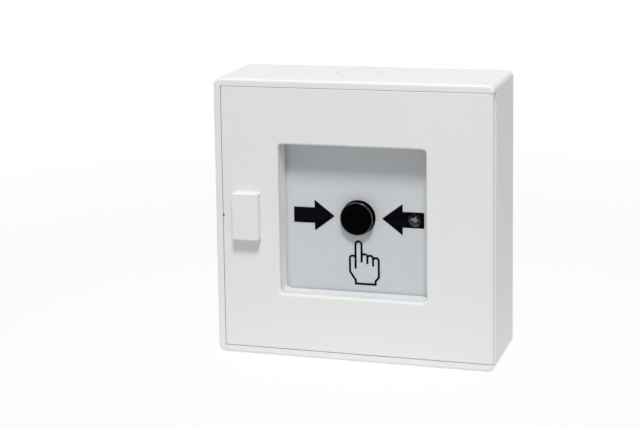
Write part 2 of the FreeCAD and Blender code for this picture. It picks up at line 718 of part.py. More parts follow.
def add_screw(body, name, across, up, seat, length, facing):
    """A small screw: shank forward or back from its seat, pan head and slot."""
    head = f"{seat} - {facing} * small_head_rise"
    tip = f"{seat} + {facing} * {length}"
    low, high = (head, seat) if facing > 0 else (seat, head)
    add(body, f"{name}_head", FRONT, low, high, disc(across, up, "small_head"))
    low, high = (seat, tip) if facing > 0 else (tip, seat)
    add(body, f"{name}_shank", FRONT, low, high, disc(across, up, "small_shank"))
    slot = block_at(across, up, "small_head", "small_slot / 2")
    if facing > 0:
        low, high = f"{head} - overlap", f"{head} + small_slot"
    else:
        low, high = f"{head} - small_slot", f"{head} + overlap"
    cut(body, f"{name}_slot", FRONT, low, high, slot)


def make_screws(label, places, seat, length, facing):
    """A group of like screws, one solid each."""
    body = new_body(label)
    for index, (across, up) in enumerate(places, start=1):
        add_screw(body, f"screw_{index}", across, up, seat, length, facing)
    return body


def make_module_screws():
    """Four long screws that hold the whole module to the box."""
    body = new_body("module_screws")
    seat = f"{PLATE_FACE} - module_head_rise"
    for index, (across, up) in enumerate(MODULE_SCREWS, start=1):
        add(body, f"shank_{index}", FRONT, f"{BOSS_TOP} - module_engage", seat,
            disc(across, up, "module_shank"))
        add(body, f"head_{index}", FRONT, seat, PLATE_FACE, disc(across, up, "module_head"))
        for turn, halves in (("level", ("recess_reach", "recess_half")),
                             ("upright", ("recess_half", "recess_reach"))):
            cut(body, f"recess_{index}_{turn}", FRONT, f"{PLATE_FACE} - recess_depth",
                f"{PLATE_FACE} + overlap", block_at(across, up, *halves))
    return body


def make_lock_cover():
    """Raised cover over the lock, a shell with two screw bosses and the key opening below."""
    body = new_body("lock_cover")
    front = "case_depth + cover_rise"
    add(body, "block", FRONT, "case_depth", front,
        block_at(LOCK_X, "lock_z", "cover_width / 2", "cover_height / 2"))
    ease(body, "edges", "Fillet", "cover_edge",
         lambda edge: along(edge, "y") or at_depth(edge, front))
    cut(body, "inside", FRONT, "case_depth - past", f"{front} - cover_face",
        block_at(LOCK_X, "lock_z", "(cover_width / 2 - cover_wall)", "(cover_height / 2 - cover_wall)"))
    add(body, "bosses", FRONT, "case_depth", f"{front} - cover_face + overlap",
        *discs(COVER_SCREWS, "cover_boss"))
    cut(body, "screw_holes", FRONT, "case_depth - past", f"{front} - cover_face - cover_hole_end",
        *discs(COVER_SCREWS, SMALL_HOLE))
    cut(body, "barrel_bore", PLAN, f"{COVER_LOW} - past", f"{COVER_LOW} + cover_wall + past",
        disc(LOCK_X, f"-{LOCK_DEPTH}", "barrel_radius + barrel_running_gap"))
    cut(body, "trunnion_bore", PLAN, f"{COVER_HIGH} - cover_wall - past", f"{COVER_HIGH} - trunnion_skin",
        disc(LOCK_X, f"-{LOCK_DEPTH}", "trunnion_radius + barrel_running_gap"))
    return body


def make_lock_barrel():
    """Turning core of the lock, modelled about its own axis and set with its arm at unlocked."""
    body = new_body("lock_barrel")
    top = f"{COVER_HIGH} - cover_wall - barrel_gap"
    add(body, "core", PLAN, COVER_LOW, top, disc("0", "0", "barrel_radius"))
    add(body, "trunnion", PLAN, f"{top} - overlap", f"{top} + barrel_gap + trunnion_length",
        disc("0", "0", "trunnion_radius"))
    low = "lock_z - cam_thick / 2"
    high = "lock_z + cam_thick / 2"
    add(body, "arm", PLAN, low, high, block("-cam_neck / 2", "cam_neck / 2", "0", "cam_reach"))
    add(body, "arm_tip", PLAN, low, high, disc("0", "cam_reach", "cam_tip"))
    cut(body, "key_slot", PLAN, f"{COVER_LOW} - past", f"{COVER_LOW} + key_depth",
        block_at("0", "0", "key_width / 2", "key_thick / 2"))
    body.setExpression("Placement.Base.x", bound(LOCK_X))
    body.setExpression("Placement.Base.y", bound(f"-{LOCK_DEPTH}"))
    body.setExpression("Placement.Rotation.Angle", bound("-cam_tilt * 1 deg"))
    body.Placement.Rotation.Axis = Vector(0, 0, 1)
    doc.recompute()
    return body


def make_latch_bolt():
    """Flat bolt behind the door, driven by the cam through an upright slot."""
    body = new_body("latch_bolt")
    tail = f"{TIP_X} + cam_tip + cam_gap + bolt_tail"
    add(body, "plate", FRONT, BOLT_BACK, BOLT_FRONT,
        block(BOLT_NOSE, tail, "lock_z - bolt_height / 2", "lock_z + bolt_height / 2"))
    ease(body, "nose", "Chamfer", "bolt_gap * 3",
         lambda edge: along(edge, "y") and near(edge.BoundBox.XMin, BOLT_NOSE))
    cut(body, "cam_slot", FRONT, f"{BOLT_BACK} - past", f"{BOLT_FRONT} + past",
        block_at(TIP_X, "lock_z", "(cam_tip + cam_gap)", "(cam_thick / 2 + cam_way_gap)"))
    return body


def make_bolt_keeper():
    """Stamped strap that keeps the bolt against the door."""
    body = new_body("bolt_keeper")
    add(body, "strap", FRONT, KEEPER_BACK, KEEPER_FRONT,
        block(KEEPER_LEFT, KEEPER_RIGHT, "lock_z - keeper_height / 2", "lock_z + keeper_height / 2"))
    ease(body, "corners", "Fillet", "keeper_thick", lambda edge: along(edge, "y"))
    cut(body, "screw_holes", FRONT, f"{KEEPER_BACK} - past", f"{KEEPER_FRONT} + past",
        *discs(KEEPER_SCREWS, SMALL_HOLE))
    return body


def make_front_plate():
    """Moulded cover of the module: the plate that shows, its skirt, pillars and rails."""
    body = new_body("front_plate")
    middle = "(plate_top + plate_bottom) / 2"
    half = "((plate_top - plate_bottom) / 2)"
    add(body, "block", FRONT, BASE_FRONT, PLATE_FACE, block_at("0", middle, "plate_half_width", half))
    ease(body, "corners", "Fillet", "plate_corner", lambda edge: along(edge, "y"))
    ease(body, "front_edge", "Fillet", "plate_edge", lambda edge: at_depth(edge, PLATE_FACE))
    cut(body, "inside", FRONT, f"{BASE_FRONT} - past", PLATE_BACK,
        block_at("0", middle, "(plate_half_width - plate_wall)", f"({half} - plate_wall)"))
    add(body, "pillars", FRONT, BASE_FRONT, f"{PLATE_BACK} + overlap", *discs(MODULE_SCREWS, "boss_radius"))
    add_rails(body)
    cut(body, "screw_holes", FRONT, f"{BASE_FRONT} - past", f"{PLATE_FACE} + past",
        *discs(MODULE_SCREWS, "module_shank + 3 * small_gap"))
    cut(body, "screw_sinks", FRONT, f"{PLATE_FACE} - module_head_rise", f"{PLATE_FACE} + past",
        *discs(MODULE_SCREWS, "module_head + 4 * small_gap"))
    cut(body, "button_hole", FRONT, f"{PLATE_BACK} - past", f"{PLATE_FACE} + past",
        disc("0", "control_z", "button_radius + button_hole_gap"))
    cut(body, "led_hole", FRONT, f"{PLATE_BACK} - past", f"{PLATE_FACE} + past",
        disc("led_x", "control_z", "led_radius + led_hole_gap"))
    cut(body, "tab_slot", FRONT, f"{PLATE_BACK} - past", f"{PLATE_FACE} + past",
        block("-slide_half - slide_gap", "slide_half + slide_gap",
              "tab_top - tab_tall - slide_travel - 2 * slide_gap", "tab_top + 2 * slide_gap"))
    cut(body, "board_way", FRONT, f"{BASE_FRONT} - past", f"{BOARD_FRONT} + board_way_gap",
        block("-board_half_width - board_way_gap", "board_half_width + board_way_gap",
              "plate_top - plate_wall - past", "plate_top + past"))
    return body


def add_rails(body):
    """Two hooked rails behind the plate that guide the reset slide, and its spring peg."""
    inner = "slide_half + slide_gap"
    near_face = f"-{PLATE_BACK} - overlap"
    lip_front = f"-{SLIDE_BACK} + slide_gap"
    lip_back = f"-{SLIDE_BACK} + slide_gap + rail_lip"
    for name, side in (("left_rail", -1), ("right_rail", 1)):
        add(body, name, PLAN, "rail_bottom", "rail_top",
            outline((f"{side} * ({inner})", near_face),
                    (f"{side} * ({inner} + rail_wall)", near_face),
                    (f"{side} * ({inner} + rail_wall)", lip_back),
                    (f"{side} * ({inner} - rail_lip)", lip_back),
                    (f"{side} * ({inner} - rail_lip)", lip_front),
                    (f"{side} * ({inner})", lip_front)))
    add(body, "spring_peg", FRONT, SLIDE_BACK, f"{PLATE_BACK} + overlap", disc("0", "peg_z", "peg_radius"))


def make_arrows():
    """Two printed arrows that point at the button from both sides."""
    body = new_body("printed_arrows")
    for name, side in (("left_arrow", -1), ("right_arrow", 1)):
        add(body, name, FRONT, PLATE_FACE, f"{PLATE_FACE} + print_thick",
            outline((f"{side} * arrow_tail", "control_z - arrow_shaft_half"),
                    (f"{side} * arrow_head", "control_z - arrow_shaft_half"),
                    (f"{side} * arrow_head", "control_z - arrow_head_half"),
                    (f"{side} * arrow_tip", "control_z"),
                    (f"{side} * arrow_head", "control_z + arrow_head_half"),
                    (f"{side} * arrow_head", "control_z + arrow_shaft_half"),
                    (f"{side} * arrow_tail", "control_z + arrow_shaft_half")))
    cut(body, "led_gap", FRONT, f"{PLATE_FACE} - past", f"{PLATE_FACE} + past",
        disc("led_x", "control_z", "led_radius + led_hole_gap"))
    return body


def arc_over(left, right, level, bulge):
    """Half-round top of a finger between two upright lines, at a height."""
    middle = Vector((left + right) / 2, 0, level + bulge)
    return Part.Arc(Vector(left, 0, level), middle, Vector(right, 0, level)).toShape()


def run(start, end):
    return Part.LineSegment(Vector(start[0], 0, start[1]), Vector(end[0], 0, end[1])).toShape()


def make_hand():
    """Printed outline of a hand whose forefinger points up at the button."""
    stroke = number("hand_stroke")
    finger = number("hand_finger")
    knuckle = number("hand_knuckle")
    tip = number("hand_tip_z")
    middle = number("hand_x")
    left = middle - finger
    right = middle + finger
    shoulders = [right + 2 * knuckle * count for count in range(4)]
    thumb = left - 2 * knuckle
    root = tip - finger
    thumb_top = root - number("hand_thumb_drop")
    thumb_low = thumb_top - number("hand_thumb_length")
    levels = [root - number(f"hand_{name}_drop") for name in ("first", "second", "third")]
    heel = root - number("hand_length")
    cuff = heel + number("hand_cuff")
    wrist = cuff + number("hand_flare")
    side = shoulders[3] - number("hand_taper")
    pieces = [arc_over(left, right, root, finger),
              run((left, root), (left, thumb_top)),
              arc_over(thumb, left, thumb_top, knuckle),
              run((thumb, thumb_top), (thumb, thumb_low)),
              run((thumb, thumb_low), (left, cuff)),
              run((left, cuff), (left, heel)),
              run((left, heel), (side, heel)),
              run((side, heel), (side, cuff)),
              run((side, cuff), (shoulders[3], wrist)),
              run((shoulders[3], wrist), (shoulders[3], levels[2])),
              run((right, root), (right, levels[0]))]
    for count, level in enumerate(levels):
        pieces.append(arc_over(shoulders[count], shoulders[count + 1], level, knuckle))
    for count in (1, 2):
        pieces.append(run((shoulders[count], levels[count - 1]), (shoulders[count], levels[count])))
    silhouette = Part.Face(Part.Wire(Part.sortEdges(pieces)[0]))
    band = silhouette.makeOffset2D(stroke / 2).cut(silhouette.makeOffset2D(-stroke / 2))
    thick = number("print_thick")
    face = number(PLATE_FACE)
    solid = band.extrude(Vector(0, -thick, 0))
    creases = [(left, thumb_top, number("hand_thumb_crease"))]
    creases += [(shoulders[count], levels[count], number("hand_crease")) for count in range(3)]
    for across, high, length in creases:
        low = high - length
        solid = solid.fuse(Part.makeBox(stroke, thick, length, Vector(across - stroke / 2, -thick, low)))
        solid = solid.fuse(Part.makeCylinder(stroke / 2, thick, Vector(across, 0, low), Vector(0, -1, 0)))
    feature = doc.addObject("Part::Feature", "printed_hand")
    feature.Label = "printed_hand"
    feature.Shape = solid.removeSplitter()
    feature.Placement = FreeCAD.Placement(Vector(0, -face, 0), FreeCAD.Rotation())
    PARTS.append(feature)
    return feature


def make_module_base():
    """Rear half of the module: floor, locating rim, board posts and the button's tower."""
    body = new_body("module_base")
    add(body, "floor", FRONT, BOSS_TOP, BASE_FRONT,
        block("-plate_half_width", "plate_half_width", "plate_bottom", "base_top"))
    ease(body, "corners", "Fillet", "plate_corner", lambda edge: along(edge, "y"))
    side = "(plate_half_width - plate_wall - base_fit)"
    low = "(plate_bottom + plate_wall + base_fit)"
    high = "(plate_top - plate_wall - base_fit)"
    screw_clear = "(boss_radius + 1)"
    add(body, "rim", FRONT, f"{BASE_FRONT} - overlap", f"{BASE_FRONT} + base_rim_rise",
        block(f"-{side}", f"-{side} + base_rim_wall",
              f"{MODULE_SCREW_LOW} + {screw_clear}", f"{MODULE_SCREW_TOP} - {screw_clear}"),
        block(f"{side} - base_rim_wall", side,
              f"{MODULE_SCREW_LOW} + {screw_clear}", f"{MODULE_SCREW_TOP} - {screw_clear}"),
        block(f"-{MODULE_SCREW_X} + {screw_clear}", f"{MODULE_SCREW_X} - {screw_clear}",
              low, f"{low} + base_rim_wall"),
        block(f"-{MODULE_SCREW_X} + {screw_clear}", f"{MODULE_SCREW_X} - {screw_clear}",
              f"{high} - base_rim_wall", high))
    add(body, "posts", FRONT, f"{BASE_FRONT} - overlap", BOARD_BACK, *discs(BOARD_SCREWS, "board_post"))
    add(body, "tower_foot", FRONT, f"{BASE_FRONT} - overlap", TOWER_FOOT_TOP,
        disc("0", "control_z", "tower_foot"))
    add(body, "tower", FRONT, f"{TOWER_FOOT_TOP} - overlap", TOWER_TOP,
        disc("0", "control_z", "tower_radius"))
    cut(body, "tower_bore", FRONT, f"{BASE_FRONT} + tower_floor", f"{TOWER_TOP} + past",
        disc("0", "control_z", "stem_radius + stem_running_gap"))
    cut(body, "post_holes", FRONT, f"{BASE_FRONT} + post_floor", f"{BOARD_BACK} + past",
        *discs(BOARD_SCREWS, SMALL_HOLE))
    cut(body, "screw_holes", FRONT, f"{BOSS_TOP} - past", f"{BASE_FRONT} + past",
        *discs(MODULE_SCREWS, "module_shank + 3 * small_gap"))
    return body


def lead_places():
    return [("led_x - lead_pitch / 2", "control_z"), ("led_x + lead_pitch / 2", "control_z")]


def make_circuit_board():
    """Circuit board, with its hole for the tower, its screws and the lamp's leads."""
    body = new_body("circuit_board")
    add(body, "sheet", FRONT, BOARD_BACK, BOARD_FRONT,
        block("-board_half_width", "board_half_width", "board_bottom", "board_top"))
    cut(body, "holes", FRONT, f"{BOARD_BACK} - past", f"{BOARD_FRONT} + past",
        disc("0", "control_z", "tower_foot + board_hole_gap"),
        *discs(BOARD_SCREWS, "small_shank + 3 * small_gap"),
        *discs(lead_places(), "lead_hole"))
    return body


def make_microswitch():
    """Small snap switch on the board, with two ears and the pin that its lever turns on."""
    body = new_body("microswitch")
    half = "switch_width / 2"
    add(body, "case", FRONT, BOARD_FRONT, SWITCH_TOP,
        block("switch_left", "switch_left + switch_length", f"control_z - {half}", f"control_z + {half}"))
    cut(body, "plunger_bore", FRONT,
        f"{SWITCH_TOP} - plunger_engage - button_travel", f"{SWITCH_TOP} + past",
        disc(f"{PIVOT_X} + plunger_arm", "control_z", "plunger_radius + plunger_gap"))
    ear_inner = "(lever_width / 2 + switch_ear_gap)"
    ear = (disc(PIVOT_X, f"-{PIVOT_DEPTH}", "lever_eye"),)
    foot = (block(f"{PIVOT_X} - lever_eye", f"{PIVOT_X} + lever_eye",
                  f"-{PIVOT_DEPTH}", f"-{SWITCH_TOP} + overlap"),)
    for name, low, high in (("lower", f"control_z - {ear_inner} - switch_ear", f"control_z - {ear_inner}"),
                            ("upper", f"control_z + {ear_inner}", f"control_z + {ear_inner} + switch_ear")):
        add(body, f"{name}_ear_foot", PLAN, low, high, *foot)
        add(body, f"{name}_ear", PLAN, low, high, *ear)
    add(body, "pivot", PLAN, f"control_z - {ear_inner} - overlap", f"control_z + {ear_inner} + overlap",
        disc(PIVOT_X, f"-{PIVOT_DEPTH}", "pivot_radius"))
    return body


def make_switch_lever():
    """Spring-steel lever with a rolled eye, modelled level about its pivot and tilted."""
    body = new_body("switch_lever")
    low = "control_z - lever_width / 2"
    high = "control_z + lever_width / 2"
    add(body, "eye", PLAN, low, high, disc("0", "0", "lever_eye"))
    add(body, "strip", PLAN, low, high,
        block("0", "lever_arm + lever_overhang", "-lever_thick / 2", "lever_thick / 2"))
    cut(body, "eye_bore", PLAN, f"{low} - past", f"{high} + past",
        disc("0", "0", "pivot_radius + pivot_gap"))
    body.setExpression("Placement.Base.x", bound(PIVOT_X))
    body.setExpression("Placement.Base.y", bound(f"-{PIVOT_DEPTH}"))
    body.setExpression("Placement.Rotation.Angle", bound(f"-{LEVER_TILT} * 1 deg"))
    body.Placement.Rotation.Axis = Vector(0, 0, 1)
    doc.recompute()
    return body


def make_switch_plunger():
    """Pin between the lever and the switch's contacts."""
    body = new_body("switch_plunger")
    top = (f"({PIVOT_DEPTH} + (plunger_arm - plunger_radius) * tan({LEVER_TILT} * 1 deg)"
           f" - lever_thick / 2 - contact_gap)")
    add(body, "pin", FRONT, f"{SWITCH_TOP} - plunger_engage", top,
        disc(f"{PIVOT_X} + plunger_arm", "control_z", "plunger_radius"))
    ease(body, "dome", "Fillet", "plunger_round", lambda edge: at_depth(edge, top))
    return body


def terminal_places():
    """Centres of the terminals along the block."""
    count = int(number("terminal_ways"))
    return [f"({index} - (terminal_ways - 1) / 2) * terminal_pitch" for index in range(count)]


def make_terminal_block():
    """Screw terminals on the board's free edge, with wire holes at the top."""
    body = new_body("terminal_block")
    half = "terminal_ways * terminal_pitch / 2 + terminal_end"
    rise = f"({BOARD_FRONT} + terminal_rise)"
    top = "(terminal_bottom + terminal_tall)"
    add(body, "block", SIDE, f"-({half})", half,
        outline((f"-{BOARD_FRONT}", "terminal_bottom"), (f"-{BOARD_FRONT}", top),
                (f"-{rise} + terminal_step", top), (f"-{rise}", f"{top} - terminal_step"),
                (f"-{rise}", "terminal_bottom")))
    wire_depth = f"-({BOARD_FRONT} + terminal_step)"
    cut(body, "wire_holes", PLAN, f"{top} - wire_depth", f"{top} + past",
        *[disc(across, wire_depth, "wire_hole") for across in terminal_places()])
    cut(body, "screw_wells", FRONT, f"{rise} - clamp_sink - clamp_rise", f"{rise} + past",
        *[disc(across, "terminal_bottom + clamp_level", "clamp_radius + 2 * small_gap")
          for across in terminal_places()])
    return body


def make_terminal_screws():
    """Clamping screws in the wells of the terminal block."""
    body = new_body("terminal_screws")
    seat = f"{BOARD_FRONT} + terminal_rise - clamp_sink - clamp_rise"
    up = "terminal_bottom + clamp_level"
    add(body, "heads", FRONT, seat, f"{seat} + clamp_rise",
        *[disc(across, up, "clamp_radius") for across in terminal_places()])
    cut(body, "slots", FRONT, f"{seat} + clamp_rise - small_slot", f"{seat} + clamp_rise + overlap",
        *[block_at(across, up, "clamp_radius", "small_slot / 2") for across in terminal_places()])
    return body


def make_indicator_led():
    """Clear indicator lamp: a turned body with a domed end and a small foot."""
    body = new_body("indicator_led")
    flat = f"{PLATE_FACE} + led_proud - led_radius"
    add(body, "foot", FRONT, LED_BASE, f"{LED_BASE} + led_foot_rise",
        disc("led_x", "control_z", "led_radius + led_foot"))
    add(body, "barrel", FRONT, f"{LED_BASE} + led_foot_rise - overlap", f"{flat} + led_radius",
        disc("led_x", "control_z", "led_radius"))
    ease(body, "dome", "Fillet", "led_radius - small_gap",
         lambda edge: at_depth(edge, f"{flat} + led_radius"))
    return body


def make_led_spacer():
    """Tube that holds the lamp at its height, with a bore for each lead."""
    body = new_body("led_spacer")
    add(body, "tube", FRONT, BOARD_FRONT, LED_BASE, disc("led_x", "control_z", "led_radius + led_foot"))
    cut(body, "bores", FRONT, f"{BOARD_FRONT} - past", f"{LED_BASE} + past",
        *discs(lead_places(), "lead_hole"))
    return body


def make_led_leads():
    """Two wires from the lamp down through the board."""
    body = new_body("led_leads")
    add(body, "wires", FRONT, f"{BOARD_BACK} - lead_tail", LED_BASE, *discs(lead_places(), "lead_radius"))
    return body


def make_button():
    """Push button: round cap, flange behind the plate, guided stem and switch finger."""
    body = new_body("button")
    add(body, "cap", FRONT, f"{FLANGE_FRONT} - overlap", BUTTON_FRONT,
        disc("0", "control_z", "button_radius"))
    ease(body, "cap_edge", "Fillet", "button_round", lambda edge: at_depth(edge, BUTTON_FRONT))
    add(body, "flange", FRONT, FLANGE_BACK, FLANGE_FRONT, disc("0", "control_z", "flange_radius"))
    add(body, "stem", FRONT, STEM_END, f"{FLANGE_BACK} + overlap", disc("0", "control_z", "stem_radius"))
    add(body, "finger", FRONT, FINGER_TIP, f"{FLANGE_BACK} + overlap",
        disc(f"{PIVOT_X} + lever_arm", "control_z", "finger_radius"))
    return body


def make_coil(label, wire, radius, turns, start, end, turn_to):
    """Coil spring of straight runs about its own axis, each turn in the same steps."""
    steps = int(number("coil_steps"))
    rise = end - start - 2 * wire
    count = int(turns * steps)
    path = []
    for index in range(count + 1):
        angle = 2 * math.pi * index / steps
        level = start + wire + rise * index / count
        path.append(Vector(radius * math.cos(angle), radius * math.sin(angle), level))
    spine = Part.makePolygon(path)
    direction = path[1] - path[0]
    across = Vector(0, 0, 1).cross(direction).normalize()
    up = direction.cross(across).normalize()
    sides = [math.pi * side / 3 for side in range(6)]
    ring = [path[0] + across * (wire * math.cos(angle)) + up * (wire * math.sin(angle)) for angle in sides]
    section = Part.makePolygon(ring + [ring[0]])
    feature = doc.addObject("Part::Feature", label)
    feature.Label = label
    feature.Shape = spine.makePipeShell([section], True, False, 1)
    feature.Placement = turn_to
    PARTS.append(feature)
    return feature


def make_button_spring():
    """Return spring between the foot of the tower and the button's flange."""
    seat = number("spring_seat")
    facing = FreeCAD.Placement(Vector(0, 0, number("control_z")), FreeCAD.Rotation(Vector(1, 0, 0), 90))
    return make_coil("button_spring", number("spring_wire"), number("spring_radius"), number("spring_turns"),
                     number(TOWER_FOOT_TOP) + seat, number(FLANGE_BACK) - seat, facing)


def make_reset_spring():
    """Small spring in the slide's slot, between the plate's peg and the slot's end."""
    seat = number("spring_seat")
    upright = FreeCAD.Placement(Vector(0, -number(SLIDE_MIDDLE), 0), FreeCAD.Rotation())
    return make_coil("reset_spring", number("reset_wire"), number("reset_radius"), number("reset_turns"),
                     number("peg_z + peg_radius") + seat, number("slot_top") - seat, upright)


def make_reset_slide():
    """Flat slide that latches the pressed button, with the tab that lets it go."""
    body = new_body("reset_slide")
    add(body, "bar", FRONT, SLIDE_BACK, SLIDE_FRONT,
        block("-slide_half", "slide_half", "slide_end", SLIDE_TOP))
    cut(body, "spring_slot", FRONT, f"{SLIDE_BACK} - past", f"{SLIDE_FRONT} + past",
        block("-slot_half", "slot_half", "slot_bottom", "slot_top"))
    add(body, "tab", FRONT, f"{SLIDE_FRONT} - overlap", f"{PLATE_FACE} + tab_proud",
        block("-slide_half", "slide_half", "tab_top - tab_tall", "tab_top"))
    return body


def make_all():
    make_back_box()
    make_hinge_pin("hinge_pin_top", 1)
    make_hinge_pin("hinge_pin_bottom", -1)
    make_door_panel()
    make_glass_pane()
    make_pane_frame()
    make_screws("frame_screws", FRAME_SCREWS, f"{FRAME_BACK} + small_head_rise", "frame_screw_length", 1)
    make_lock_cover()
    make_screws("cover_screws", COVER_SCREWS, DOOR_BACK, "cover_screw_length", 1)
    make_lock_barrel()
    make_latch_bolt()
    make_bolt_keeper()
    make_screws("keeper_screws", KEEPER_SCREWS, KEEPER_BACK, "keeper_screw_length", 1)
    make_front_plate()
    make_arrows()
    make_hand()
    make_module_base()
    make_module_screws()
    make_circuit_board()
    make_screws("board_screws", BOARD_SCREWS, BOARD_FRONT, "board_screw_length", -1)
    make_microswitch()
    make_switch_lever()
    make_switch_plunger()
    make_terminal_block()
    make_terminal_screws()
    make_indicator_led()
    make_led_spacer()
    make_led_leads()
    make_button()
    make_button_spring()
    make_reset_slide()
    make_reset_spring()


def check_document():
    """Stops if an object failed or a sub-part has no sound shape."""
    doc.recompute()
    for item in doc.Objects:
        if {"Invalid", "Error"} & set(item.State):
            raise RuntimeError(f"{item.Name} failed")
    for part in PARTS:
        if part.Shape.isNull() or not part.Shape.isValid() or not part.Shape.Solids:
            raise RuntimeError(f"{part.Label} has no sound solid")


def write_parts():
    os.makedirs("parts", exist_ok=True)
    for part in PARTS:
        part.Shape.exportStep(f"parts/{part.Label}.step")
        print(part.Label, len(part.Shape.Solids), round(part.Shape.Volume, 1))


make_all()
check_document()
write_parts()
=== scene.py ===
import math

import bpy
from mathutils import Matrix, Vector


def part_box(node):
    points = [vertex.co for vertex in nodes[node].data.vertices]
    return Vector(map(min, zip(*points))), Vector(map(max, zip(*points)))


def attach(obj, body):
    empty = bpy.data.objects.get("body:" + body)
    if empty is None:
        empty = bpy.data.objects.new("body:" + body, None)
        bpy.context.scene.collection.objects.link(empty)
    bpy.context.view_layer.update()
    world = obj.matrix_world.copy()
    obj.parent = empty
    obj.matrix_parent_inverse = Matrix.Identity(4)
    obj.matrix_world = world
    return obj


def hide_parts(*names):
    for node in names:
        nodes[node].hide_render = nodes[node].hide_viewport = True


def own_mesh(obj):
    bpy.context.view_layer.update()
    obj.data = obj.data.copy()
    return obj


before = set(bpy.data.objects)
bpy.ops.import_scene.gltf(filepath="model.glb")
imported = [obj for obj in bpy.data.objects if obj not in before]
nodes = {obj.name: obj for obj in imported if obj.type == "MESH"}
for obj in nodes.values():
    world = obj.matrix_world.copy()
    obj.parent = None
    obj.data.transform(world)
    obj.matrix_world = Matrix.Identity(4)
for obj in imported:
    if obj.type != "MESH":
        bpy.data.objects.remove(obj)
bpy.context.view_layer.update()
floor_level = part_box("back_box")[0].z


# Camera
# It stands in front, to the right and a little above, where the photograph was
# taken from, with the same long lens. The photograph is the left lower part of
# a larger picture, which the lens shift stands for.
camera_place = Vector((0.2158, -0.8591, 0.1926))
camera_turn = 0.3503
camera_tilt = -0.1573
camera_roll = -0.0255
camera_lens = 101.85
camera_shift = (0.2044, -0.1755)

camera_data = bpy.data.cameras.new("camera")
camera_data.sensor_width = 36.0
camera_data.lens = camera_lens
camera_data.shift_x, camera_data.shift_y = camera_shift
camera_data.clip_start = 0.01
camera_data.clip_end = 20.0
camera = bpy.data.objects.new("camera", camera_data)
bpy.context.scene.collection.objects.link(camera)
facing = (Matrix.Rotation(camera_turn, 4, "Z") @ Matrix.Rotation(math.pi / 2 + camera_tilt, 4, "X")
          @ Matrix.Rotation(camera_roll, 4, "Z"))
camera.matrix_world = Matrix.Translation(camera_place) @ facing
bpy.context.scene.camera = camera
bpy.context.scene.view_settings.view_transform = "Standard"


# Floor and light
# A white paper floor that rises behind the object and glows faintly round it. It
# shows almost white to the camera and in gloss, and still takes the object's soft
# shadow. The main lamp stands above in front, with weak ones at the sides and top.
floor_reach = 4.0
floor_rise = 2.5
floor_bend = 0.6
white_share = 0.9
shadow_reach = (0.12, 0.55)
glow_reach = (0.08, 0.28)
glow = 0.47
paper_grey = 0.45
room_strength = 0.33


def seen_ray(tree):
    """A value of 1 for rays from the camera, from gloss and from glass."""
    light_path = tree.nodes.new("ShaderNodeLightPath")
    total = tree.nodes.new("ShaderNodeMath")
    total.operation = "ADD"
    tree.links.new(light_path.outputs["Is Camera Ray"], total.inputs[0])
    tree.links.new(light_path.outputs["Is Glossy Ray"], total.inputs[1])
    seen = tree.nodes.new("ShaderNodeMath")
    seen.operation = "ADD"
    seen.use_clamp = True
    tree.links.new(total.outputs[0], seen.inputs[0])
    tree.links.new(light_path.outputs["Is Transmission Ray"], seen.inputs[1])
    return seen.outputs[0]


bpy.ops.object.select_all(action="DESELECT")
bpy.ops.mesh.primitive_plane_add(size=2 * floor_reach, location=(0, 0, floor_level))
floor = bpy.context.object
floor.name = "floor"
bpy.ops.object.mode_set(mode="EDIT")
bpy.ops.mesh.select_all(action="DESELECT")
bpy.ops.object.mode_set(mode="OBJECT")
for edge in floor.data.edges:
    edge.select = all(floor.data.vertices[index].co.y > 0 for index in edge.vertices)
bpy.ops.object.mode_set(mode="EDIT")
bpy.ops.mesh.select_mode(type="EDGE")
bpy.ops.mesh.extrude_region_move(TRANSFORM_OT_translate={"value": (0, 0, floor_rise)})
bpy.ops.mesh.select_all(action="DESELECT")
bpy.ops.object.mode_set(mode="OBJECT")
for edge in floor.data.edges:
    ends = [floor.data.vertices[index].co for index in edge.vertices]
    edge.select = all(end.y > 0 and abs(end.z) < 0.001 for end in ends)
bpy.ops.object.mode_set(mode="EDIT")
bpy.ops.mesh.bevel(offset=floor_bend, segments=12)
bpy.ops.object.mode_set(mode="OBJECT")
bpy.ops.object.transform_apply(location=True, rotation=True, scale=True)
bpy.ops.object.shade_smooth()

paper = bpy.data.materials.new("paper_floor")
paper.use_nodes = True
paper_tree = paper.node_tree
paper_skin = paper_tree.nodes["Principled BSDF"]
paper_skin.inputs["Base Color"].default_value = (paper_grey, paper_grey, paper_grey, 1)
paper_skin.inputs["Roughness"].default_value = 0.9
paper_skin.inputs["Specular IOR Level"].default_value = 0.0
paper_glow = paper_tree.nodes.new("ShaderNodeEmission")
paper_glow.inputs["Color"].default_value = (1, 1, 1, 1)
paper_glow.inputs["Strength"].default_value = 1.0
paper_place = paper_tree.nodes.new("ShaderNodeTexCoord").outputs["Object"]
paper_distance = paper_tree.nodes.new("ShaderNodeVectorMath")
paper_distance.operation = "LENGTH"
paper_tree.links.new(paper_place, paper_distance.inputs[0])
paper_fade = paper_tree.nodes.new("ShaderNodeMapRange")
paper_fade.inputs["From Min"].default_value = shadow_reach[0]
paper_fade.inputs["From Max"].default_value = shadow_reach[1]
paper_fade.inputs["To Min"].default_value = white_share
paper_fade.inputs["To Max"].default_value = 1.0
paper_tree.links.new(paper_distance.outputs["Value"], paper_fade.inputs["Value"])
paper_light = paper_tree.nodes.new("ShaderNodeMapRange")
paper_light.inputs["From Min"].default_value = glow_reach[0]
paper_light.inputs["From Max"].default_value = glow_reach[1]
paper_light.inputs["To Min"].default_value = glow
paper_light.inputs["To Max"].default_value = 0.0
paper_tree.links.new(paper_distance.outputs["Value"], paper_light.inputs["Value"])
paper_tree.links.new(paper_light.outputs["Result"], paper_skin.inputs["Emission Strength"])
paper_skin.inputs["Emission Color"].default_value = (1, 1, 1, 1)
paper_share = paper_tree.nodes.new("ShaderNodeMath")
paper_share.operation = "MULTIPLY"
